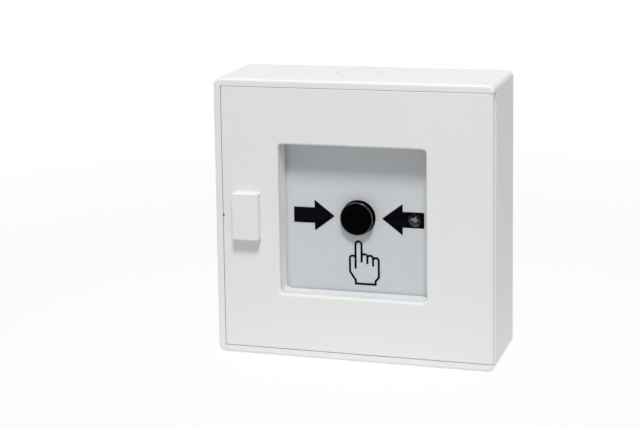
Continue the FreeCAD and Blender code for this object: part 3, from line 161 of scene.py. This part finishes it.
paper_tree.links.new(paper_fade.outputs["Result"], paper_share.inputs[1])
paper_mix = paper_tree.nodes.new("ShaderNodeMixShader")
paper_tree.links.new(seen_ray(paper_tree), paper_share.inputs[0])
paper_tree.links.new(paper_share.outputs[0], paper_mix.inputs["Fac"])
paper_tree.links.new(paper_skin.outputs["BSDF"], paper_mix.inputs[1])
paper_tree.links.new(paper_glow.outputs["Emission"], paper_mix.inputs[2])
paper_tree.links.new(paper_mix.outputs["Shader"], paper_tree.nodes["Material Output"].inputs["Surface"])
floor.data.materials.append(paper)

room = bpy.data.worlds.new("studio")
room.use_nodes = True
bpy.context.scene.world = room
room_tree = room.node_tree
room_light = room_tree.nodes["Background"]
room_light.inputs["Color"].default_value = (1.0, 1.0, 1.0, 1)
room_light.inputs["Strength"].default_value = room_strength
room_white = room_tree.nodes.new("ShaderNodeBackground")
room_white.inputs["Color"].default_value = (1, 1, 1, 1)
room_white.inputs["Strength"].default_value = 1.0
room_mix = room_tree.nodes.new("ShaderNodeMixShader")
room_tree.links.new(seen_ray(room_tree), room_mix.inputs["Fac"])
room_tree.links.new(room_light.outputs["Background"], room_mix.inputs[1])
room_tree.links.new(room_white.outputs["Background"], room_mix.inputs[2])
room_tree.links.new(room_mix.outputs["Shader"], room_tree.nodes["World Output"].inputs["Surface"])


def softbox(name, turn, lift, distance, width, height, power):
    """An area lamp that faces the object from a turn about it and a lift above the floor."""
    data = bpy.data.lights.new(name, "AREA")
    data.shape = "RECTANGLE"
    data.size = width
    data.size_y = height
    data.energy = power
    lamp = bpy.data.objects.new(name, data)
    bpy.context.scene.collection.objects.link(lamp)
    turn, lift = math.radians(turn), math.radians(lift)
    away = Vector((math.sin(turn) * math.cos(lift), -math.cos(turn) * math.cos(lift), math.sin(lift)))
    lamp.location = away * distance
    lamp.rotation_mode = "QUATERNION"
    lamp.rotation_quaternion = (-away).to_track_quat("-Z", "Y")


softbox("key_light", 14, 52, 1.3, 0.26, 0.28, 11.2)
softbox("right_light", 80, 4, 1.4, 0.9, 0.9, 3.0)
softbox("left_light", -80, 8, 1.4, 0.9, 0.9, 3.6)
softbox("top_light", 0, 88, 1.4, 1.0, 0.5, 3.4)


# Back box
# The wall box is injection moulded in white plastic with a fine satin skin,
# open to the front, with screw bosses on its floor and a knock-out at the top.
housing_white = (0.788, 0.78, 0.767, 1)


def group_socket(group, name, direction, kind, value=None):
    """One named input or output of a node group."""
    socket = group.interface.new_socket(name, in_out=direction, socket_type=kind)
    if value is not None:
        socket.default_value = value
    return socket


def math_node(tree, operation, first, second):
    """A Math node, with sockets or numbers for its two values."""
    node = tree.nodes.new("ShaderNodeMath")
    node.operation = operation
    for index, value in enumerate((first, second)):
        if isinstance(value, (int, float)):
            node.inputs[index].default_value = value
        else:
            tree.links.new(value, node.inputs[index])
    return node.outputs[0]


def noise_at(tree, place, scale, detail):
    """The value of a noise pattern at a place, at a scale that is a number or a socket."""
    noise = tree.nodes.new("ShaderNodeTexNoise")
    noise.inputs["Detail"].default_value = detail
    tree.links.new(place, noise.inputs["Vector"])
    if isinstance(scale, (int, float)):
        noise.inputs["Scale"].default_value = scale
    else:
        tree.links.new(scale, noise.inputs["Scale"])
    return noise.outputs["Fac"]


def moulded_skin_group():
    """Skin of moulded plastic: faint flow clouds in the colour and a fine spark-eroded grain."""
    group = bpy.data.node_groups.new("moulded_skin", "ShaderNodeTree")
    group_socket(group, "Color", "INPUT", "NodeSocketColor", (0.8, 0.8, 0.8, 1))
    group_socket(group, "Cloud", "INPUT", "NodeSocketFloat", 0.03)
    group_socket(group, "Roughness", "INPUT", "NodeSocketFloat", 0.4)
    group_socket(group, "Grain", "INPUT", "NodeSocketFloat", 0.0004)
    group_socket(group, "Relief", "INPUT", "NodeSocketFloat", 0.00001)
    group_socket(group, "Color", "OUTPUT", "NodeSocketColor")
    group_socket(group, "Roughness", "OUTPUT", "NodeSocketFloat")
    group_socket(group, "Normal", "OUTPUT", "NodeSocketVector")
    into = group.nodes.new("NodeGroupInput")
    out = group.nodes.new("NodeGroupOutput")
    place = group.nodes.new("ShaderNodeTexCoord").outputs["Object"]
    cloud = noise_at(group, place, 28.0, 3.0)
    grain = noise_at(group, place, math_node(group, "DIVIDE", 1.0, into.outputs["Grain"]), 2.0)
    darker = math_node(group, "MULTIPLY", cloud, into.outputs["Cloud"])
    level = math_node(group, "SUBTRACT", 1.0, darker)
    shade = group.nodes.new("ShaderNodeMix")
    shade.data_type = "RGBA"
    shade.blend_type = "MULTIPLY"
    shade.inputs["Factor"].default_value = 1.0
    group.links.new(into.outputs["Color"], shade.inputs["A"])
    group.links.new(level, shade.inputs["B"])
    group.links.new(shade.outputs["Result"], out.inputs["Color"])
    spread = math_node(group, "MULTIPLY", math_node(group, "SUBTRACT", grain, 0.5), 0.16)
    group.links.new(math_node(group, "ADD", into.outputs["Roughness"], spread), out.inputs["Roughness"])
    bump = group.nodes.new("ShaderNodeBump")
    bump.inputs["Strength"].default_value = 1.0
    group.links.new(into.outputs["Relief"], bump.inputs["Distance"])
    group.links.new(grain, bump.inputs["Height"])
    group.links.new(bump.outputs["Normal"], out.inputs["Normal"])
    return group


moulded_skin = moulded_skin_group()


def surface(name, group, values, **plain):
    """A material whose colour, roughness and relief come from a group, with plain values on the shader."""
    made = bpy.data.materials.new(name)
    made.use_nodes = True
    tree = made.node_tree
    shader = tree.nodes["Principled BSDF"]
    skin = tree.nodes.new("ShaderNodeGroup")
    skin.node_tree = group
    for socket, value in values.items():
        skin.inputs[socket].default_value = value
    tree.links.new(skin.outputs["Color"], shader.inputs["Base Color"])
    tree.links.new(skin.outputs["Roughness"], shader.inputs["Roughness"])
    tree.links.new(skin.outputs["Normal"], shader.inputs["Normal"])
    for socket, value in plain.items():
        shader.inputs[socket.replace("_", " ")].default_value = value
    return made


def dress(material, *names):
    """Gives CAD nodes a material in place of the one they came with."""
    for name in names:
        nodes[name].data.materials.clear()
        nodes[name].data.materials.append(material)


box_plastic = surface("box_plastic", moulded_skin,
                      {"Color": housing_white, "Cloud": 0.02, "Roughness": 0.45, "Grain": 0.00035,
                       "Relief": 0.000006})
dress(box_plastic, "back_box")


# Door
# The door is moulded in the same plastic with a slightly smoother face, and
# turns on the two steel pins in its rolled right edge.
door_plastic = surface("door_plastic", moulded_skin,
                       {"Color": (0.775, 0.775, 0.765, 1), "Cloud": 0.02, "Roughness": 0.42, "Grain": 0.0003,
                        "Relief": 0.000004})
dress(door_plastic, "door_panel", "lock_cover")


# Pane frame
# The frame behind the pane is moulded in white plastic and screwed to the
# door's bosses.
frame_plastic = surface("frame_plastic", moulded_skin,
                        {"Color": (0.84, 0.845, 0.86, 1), "Cloud": 0.02, "Roughness": 0.4, "Grain": 0.0003,
                         "Relief": 0.000004})
dress(frame_plastic, "pane_frame")


# Glass pane
# One thin sheet of clear float glass, held between the door's collar and the
# pane frame. Lamps shine through it, as they do through the real one.
glass = bpy.data.materials.new("pane_glass")
glass.use_nodes = True
glass_tree = glass.node_tree
glass_skin = glass_tree.nodes["Principled BSDF"]
glass_skin.inputs["Base Color"].default_value = (0.985, 0.98, 0.99, 1)
glass_skin.inputs["Transmission Weight"].default_value = 1.0
glass_skin.inputs["IOR"].default_value = 1.45
glass_skin.inputs["Specular Tint"].default_value = (0.02, 0.02, 0.02, 1)
glass_place = glass_tree.nodes.new("ShaderNodeTexCoord").outputs["Object"]
glass_film = noise_at(glass_tree, glass_place, 60.0, 4.0)
glass_rough = math_node(glass_tree, "MULTIPLY", glass_film, 0.03)
glass_tree.links.new(glass_rough, glass_skin.inputs["Roughness"])
glass_open = glass_tree.nodes.new("ShaderNodeBsdfTransparent")
glass_open.inputs["Color"].default_value = (0.95, 0.97, 0.965, 1)
glass_path = glass_tree.nodes.new("ShaderNodeLightPath")
glass_mix = glass_tree.nodes.new("ShaderNodeMixShader")
glass_unbent = math_node(glass_tree, "ADD", glass_path.outputs["Is Shadow Ray"],
                         glass_path.outputs["Is Diffuse Ray"])
glass_tree.links.new(glass_unbent, glass_mix.inputs["Fac"])
glass_tree.links.new(glass_skin.outputs["BSDF"], glass_mix.inputs[1])
glass_tree.links.new(glass_open.outputs["BSDF"], glass_mix.inputs[2])
glass_tree.links.new(glass_mix.outputs["Shader"], glass_tree.nodes["Material Output"].inputs["Surface"])
dress(glass, "glass_pane")


# Front plate
# The module's cover is moulded in a cooler white and carries the print. It
# stays smooth, so that ink sits cleanly on it.
plate_plastic = surface("plate_plastic", moulded_skin,
                        {"Color": (0.675, 0.68, 0.705, 1), "Cloud": 0.03, "Roughness": 0.38, "Grain": 0.0003,
                         "Relief": 0.000003})
dress(plate_plastic, "front_plate")


# Print
# The arrows and the hand are screen printed in one layer of black ink, with
# the slight orange-peel skin that such ink dries to.
ink = surface("print_ink", moulded_skin,
              {"Color": (0.002, 0.002, 0.004, 1), "Cloud": 0.1, "Roughness": 0.5, "Grain": 0.0006,
               "Relief": 0.000004},
              Specular_IOR_Level=0.01)
dress(ink, "printed_arrows", "printed_hand")


# Button
# The push button is moulded in deep black plastic with a dull skin. The mould
# is polished in its rounded edge, so only that edge shines.
cap_radius = 0.00815
polish_start = 0.000575
polish_end = 0.000025
button_low, button_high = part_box("button")
button_centre = (button_low + button_high) / 2
button_plastic = surface("button_plastic", moulded_skin,
                         {"Color": (0.0008, 0.0008, 0.0009, 1), "Cloud": 0.1, "Roughness": 0.4,
                          "Grain": 0.0009, "Relief": 0.000002},
                         Specular_IOR_Level=0.0, Coat_Roughness=0.08, Coat_IOR=1.75)
button_tree = button_plastic.node_tree
button_place = button_tree.nodes.new("ShaderNodeTexCoord").outputs["Object"]
button_flat = button_tree.nodes.new("ShaderNodeVectorMath")
button_flat.operation = "MULTIPLY_ADD"
button_tree.links.new(button_place, button_flat.inputs[0])
button_flat.inputs[1].default_value = (1, 0, 1)
button_flat.inputs[2].default_value = (-button_centre.x, 0, -button_centre.z)
button_reach = button_tree.nodes.new("ShaderNodeVectorMath")
button_reach.operation = "LENGTH"
button_tree.links.new(button_flat.outputs["Vector"], button_reach.inputs[0])
button_rim = math_node(button_tree, "GREATER_THAN", button_reach.outputs["Value"], cap_radius - polish_start)
button_side = math_node(button_tree, "LESS_THAN", button_reach.outputs["Value"], cap_radius - polish_end)
button_tree.links.new(math_node(button_tree, "MULTIPLY", button_rim, button_side),
                      button_tree.nodes["Principled BSDF"].inputs["Coat Weight"])
dress(button_plastic, "button")


# Indicator lamp
# A 5.8 mm lamp cast in clear resin, with a reflector cup on one of its two
# posts. It stands on a pale spacer with its leads soldered to the board.
resin = bpy.data.materials.new("lamp_resin")
resin.use_nodes = True
resin_tree = resin.node_tree
resin_skin = resin_tree.nodes["Principled BSDF"]
resin_skin.inputs["Base Color"].default_value = (0.93, 0.94, 0.95, 1)
resin_skin.inputs["Transmission Weight"].default_value = 1.0
resin_skin.inputs["IOR"].default_value = 1.54
resin_place = resin_tree.nodes.new("ShaderNodeTexCoord").outputs["Object"]
resin_haze = noise_at(resin_tree, resin_place, 900.0, 2.0)
resin_tree.links.new(math_node(resin_tree, "MULTIPLY", resin_haze, 0.04), resin_skin.inputs["Roughness"])
dress(resin, "indicator_led")


# Lamp posts
# Two flat posts of silver-plated steel go down through the resin and on as the
# lamp's leads. The thicker one ends in a stamped reflector cup.
post_silver = (0.33, 0.33, 0.34, 1)
post_thick = 0.0004
anvil_width = 0.0013
whisker_width = 0.0007
post_gap = 0.0005
cup_radius = 0.00065
cup_height = 0.0011
cup_wall = 0.00018
cup_depth = 0.0006
cup_front = 0.0026
cup_floor_share = 0.45
cup_back_share = 0.6
whisker_tip_share = (0.5, 1, 0.8)
lamp_low, lamp_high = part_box("indicator_led")
lamp_x = (lamp_low.x + lamp_high.x) / 2
lamp_z = (lamp_low.z + lamp_high.z) / 2


def only(*chosen):
    """Selects these objects alone, the first one active."""
    bpy.ops.object.select_all(action="DESELECT")
    for item in chosen:
        item.select_set(True)
    bpy.context.view_layer.objects.active = chosen[0]


def pick_faces(item, test):
    """Opens an object for editing with the faces that a test of their centres picks."""
    only(item)
    bpy.context.tool_settings.mesh_select_mode = (False, False, True)
    bpy.ops.object.mode_set(mode="EDIT")
    bpy.ops.mesh.select_all(action="DESELECT")
    bpy.ops.object.mode_set(mode="OBJECT")
    for face in item.data.polygons:
        face.select = test(item.matrix_world @ face.center)
    bpy.ops.object.mode_set(mode="EDIT")


def bar(name, low, high):
    """A square bar between two opposite corners, for cutting and bending further."""
    bpy.ops.object.select_all(action="DESELECT")
    bpy.ops.mesh.primitive_cube_add(size=1, location=(low + high) / 2)
    item = bpy.context.object
    item.name = name
    item.scale = high - low
    bpy.ops.object.transform_apply(location=True, rotation=True, scale=True)
    return item


def soften(item, width):
    """Rounds every sharp edge a little and shades the faces smooth."""
    only(item)
    bevel = item.modifiers.new("bevel", "BEVEL")
    bevel.width = width
    bevel.segments = 2
    bevel.angle_limit = math.radians(40)
    bpy.ops.object.modifier_apply(modifier=bevel.name)
    bpy.ops.object.shade_smooth_by_angle(angle=math.radians(35))


cup_place = lamp_low.y + cup_front
anvil_low = Vector((lamp_x - anvil_width, cup_place + cup_height * 0.8, lamp_z - post_thick / 2))
anvil_high = Vector((lamp_x + post_thick, lamp_high.y - post_thick, lamp_z + post_thick / 2))
anvil = bar("lamp_anvil", anvil_low, anvil_high)
soften(anvil, post_thick / 8)
bpy.ops.object.select_all(action="DESELECT")
bpy.ops.mesh.primitive_cylinder_add(vertices=32, radius=cup_radius, depth=cup_height,
                                    rotation=(math.pi / 2, 0, 0),
                                    location=(lamp_x, cup_place + cup_height / 2, lamp_z))
cup = bpy.context.object
cup.name = "lamp_cup"
pick_faces(cup, lambda centre: centre.y < cup_place + cup_height / 10)
bpy.ops.mesh.inset(thickness=cup_wall)
bpy.ops.mesh.extrude_region_move(TRANSFORM_OT_translate={"value": (0, cup_depth, 0)})
bpy.ops.transform.resize(value=(cup_floor_share, 1, cup_floor_share),
                         center_override=(lamp_x, cup_place + cup_depth, lamp_z))
bpy.ops.object.mode_set(mode="OBJECT")
pick_faces(cup, lambda centre: centre.y > cup_place + cup_height * 0.9)
bpy.ops.transform.resize(value=(cup_back_share, 1, cup_back_share),
                         center_override=(lamp_x, cup_place + cup_height, lamp_z))
bpy.ops.object.mode_set(mode="OBJECT")
bpy.ops.object.transform_apply(location=True, rotation=True, scale=True)
soften(cup, cup_wall / 5)
whisker_low = Vector((lamp_x + post_thick + post_gap, cup_place + cup_height / 4, lamp_z - post_thick / 2))
whisker_high = Vector((whisker_low.x + whisker_width, lamp_high.y - post_thick, lamp_z + post_thick / 2))
whisker = bar("lamp_whisker", whisker_low, whisker_high)
pick_faces(whisker, lambda centre: centre.y < whisker_low.y + post_thick / 10)
bpy.ops.transform.resize(value=whisker_tip_share, center_override=(whisker_low.x, whisker_low.y, lamp_z))
bpy.ops.object.mode_set(mode="OBJECT")
soften(whisker, post_thick / 8)


# Metal pieces
# Screws, pins and the lock's bolt and strap are zinc-plated steel, drawn or
# turned, so fine lines run round and along them.
def drawn_metal_group():
    """Plated metal: fine drawn lines in roughness and relief, and a faint cloud in the plating."""
    group = bpy.data.node_groups.new("drawn_metal", "ShaderNodeTree")
    group_socket(group, "Color", "INPUT", "NodeSocketColor", (0.6, 0.6, 0.6, 1))
    group_socket(group, "Roughness", "INPUT", "NodeSocketFloat", 0.3)
    group_socket(group, "Lines", "INPUT", "NodeSocketVector", (600.0, 6000.0, 600.0))
    group_socket(group, "Relief", "INPUT", "NodeSocketFloat", 0.00001)
    group_socket(group, "Color", "OUTPUT", "NodeSocketColor")
    group_socket(group, "Roughness", "OUTPUT", "NodeSocketFloat")
    group_socket(group, "Normal", "OUTPUT", "NodeSocketVector")
    into = group.nodes.new("NodeGroupInput")
    out = group.nodes.new("NodeGroupOutput")
    place = group.nodes.new("ShaderNodeTexCoord").outputs["Object"]
    stretched = group.nodes.new("ShaderNodeVectorMath")
    stretched.operation = "MULTIPLY"
    group.links.new(place, stretched.inputs[0])
    group.links.new(into.outputs["Lines"], stretched.inputs[1])
    lines = noise_at(group, stretched.outputs["Vector"], 1.0, 2.0)
    cloud = noise_at(group, place, 220.0, 2.0)
    level = math_node(group, "ADD", 0.85, math_node(group, "MULTIPLY", cloud, 0.3))
    shade = group.nodes.new("ShaderNodeMix")
    shade.data_type = "RGBA"
    shade.blend_type = "MULTIPLY"
    shade.inputs["Factor"].default_value = 1.0
    group.links.new(into.outputs["Color"], shade.inputs["A"])
    group.links.new(level, shade.inputs["B"])
    group.links.new(shade.outputs["Result"], out.inputs["Color"])
    spread = math_node(group, "MULTIPLY", math_node(group, "SUBTRACT", lines, 0.5), 0.3)
    group.links.new(math_node(group, "ADD", into.outputs["Roughness"], spread), out.inputs["Roughness"])
    bump = group.nodes.new("ShaderNodeBump")
    bump.inputs["Strength"].default_value = 1.0
    group.links.new(into.outputs["Relief"], bump.inputs["Distance"])
    group.links.new(lines, bump.inputs["Height"])
    group.links.new(bump.outputs["Normal"], out.inputs["Normal"])
    return group


drawn_metal = drawn_metal_group()
zinc_steel = surface("zinc_steel", drawn_metal,
                     {"Color": (0.62, 0.62, 0.64, 1), "Roughness": 0.32, "Relief": 0.00001},
                     Metallic=1.0)
dress(zinc_steel, "hinge_pin_top", "hinge_pin_bottom", "frame_screws", "cover_screws", "keeper_screws",
      "module_screws", "board_screws", "terminal_screws", "latch_bolt", "bolt_keeper", "led_leads")
spring_wire = surface("spring_wire", drawn_metal,
                      {"Color": (0.5, 0.5, 0.51, 1), "Roughness": 0.28, "Relief": 0.000004},
                      Metallic=1.0)
dress(spring_wire, "switch_lever")
core_plating = surface("core_plating", drawn_metal,
                       {"Color": (0.68, 0.66, 0.63, 1), "Roughness": 0.22, "Relief": 0.000004},
                       Metallic=1.0)
dress(core_plating, "lock_barrel")
post_plating = surface("post_plating", drawn_metal,
                       {"Color": post_silver, "Roughness": 0.25, "Relief": 0.000002},
                       Metallic=1.0)
for post in (anvil, cup, whisker):
    post.data.materials.append(post_plating)
    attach(post, "housing")


# Return springs
# Two coils of bright steel wire, wound evenly with cut ends, push the button
# and the reset slide back.
coil_steps = 20
wire_sides = 10
button_wire = 0.0004
button_turns = 5
reset_wire = 0.0002
reset_turns = 6


def wound_spring(name, node, wire, turns, axis):
    """A coil in the place of a CAD spring, wound along an axis."""
    low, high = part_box(node)
    middle = (low + high) / 2
    length = abs((high - low).dot(axis))
    bpy.ops.object.select_all(action="DESELECT")
    bpy.ops.mesh.primitive_circle_add(vertices=wire_sides, radius=wire, rotation=(math.pi / 2, 0, 0),
                                      location=((high.x - low.x) / 2 - wire, 0, wire - length / 2))
    coil = bpy.context.object
    coil.name = name
    bpy.ops.object.transform_apply(location=True, rotation=True, scale=True)
    wind = coil.modifiers.new("wind", "SCREW")
    wind.iterations = turns
    wind.screw_offset = (length - 2 * wire) / turns
    wind.steps = coil_steps
    wind.render_steps = coil_steps
    bpy.ops.object.modifier_apply(modifier=wind.name)
    bpy.ops.object.mode_set(mode="EDIT")
    bpy.ops.mesh.select_all(action="SELECT")
    bpy.ops.mesh.remove_doubles(threshold=wire / 100)
    bpy.ops.mesh.fill_holes(sides=0)
    bpy.ops.mesh.select_all(action="SELECT")
    bpy.ops.mesh.normals_make_consistent(inside=False)
    bpy.ops.object.mode_set(mode="OBJECT")
    coil.rotation_euler = Vector((0, 0, 1)).rotation_difference(axis).to_euler()
    coil.location = middle
    bpy.ops.object.transform_apply(location=True, rotation=True, scale=True)
    bpy.ops.object.shade_smooth_by_angle(angle=math.radians(50))
    coil.data.materials.append(spring_wire)
    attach(coil, "housing")
    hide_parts(node)
    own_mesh(coil)


wound_spring("button_coil", "button_spring", button_wire, button_turns, Vector((0, -1, 0)))
wound_spring("reset_coil", "reset_spring", reset_wire, reset_turns, Vector((0, 0, 1)))


# Module
# The rear half of the module, the reset slide and the lamp's spacer are pale
# grey plastic, the switch black with a red pin, and the terminal block mid grey.
# The board has a green solder resist.
base_plastic = surface("base_plastic", moulded_skin,
                       {"Color": (0.62, 0.62, 0.60, 1), "Cloud": 0.05, "Roughness": 0.5, "Grain": 0.0004,
                        "Relief": 0.000008})
dress(base_plastic, "module_base", "reset_slide", "led_spacer")
switch_plastic = surface("switch_plastic", moulded_skin,
                         {"Color": (0.03, 0.03, 0.032, 1), "Cloud": 0.1, "Roughness": 0.45, "Grain": 0.0003,
                          "Relief": 0.000006})
dress(switch_plastic, "microswitch")
terminal_plastic = surface("terminal_plastic", moulded_skin,
                           {"Color": (0.33, 0.36, 0.38, 1), "Cloud": 0.06, "Roughness": 0.42, "Grain": 0.0003,
                            "Relief": 0.000006})
dress(terminal_plastic, "terminal_block")
plunger_plastic = surface("plunger_plastic", moulded_skin,
                          {"Color": (0.42, 0.03, 0.025, 1), "Cloud": 0.08, "Roughness": 0.3, "Grain": 0.0002,
                           "Relief": 0.000003})
dress(plunger_plastic, "switch_plunger")
board_resist = surface("board_resist", moulded_skin,
                       {"Color": (0.02, 0.13, 0.06, 1), "Cloud": 0.25, "Roughness": 0.3, "Grain": 0.0006,
                        "Relief": 0.00001})
dress(board_resist, "circuit_board")
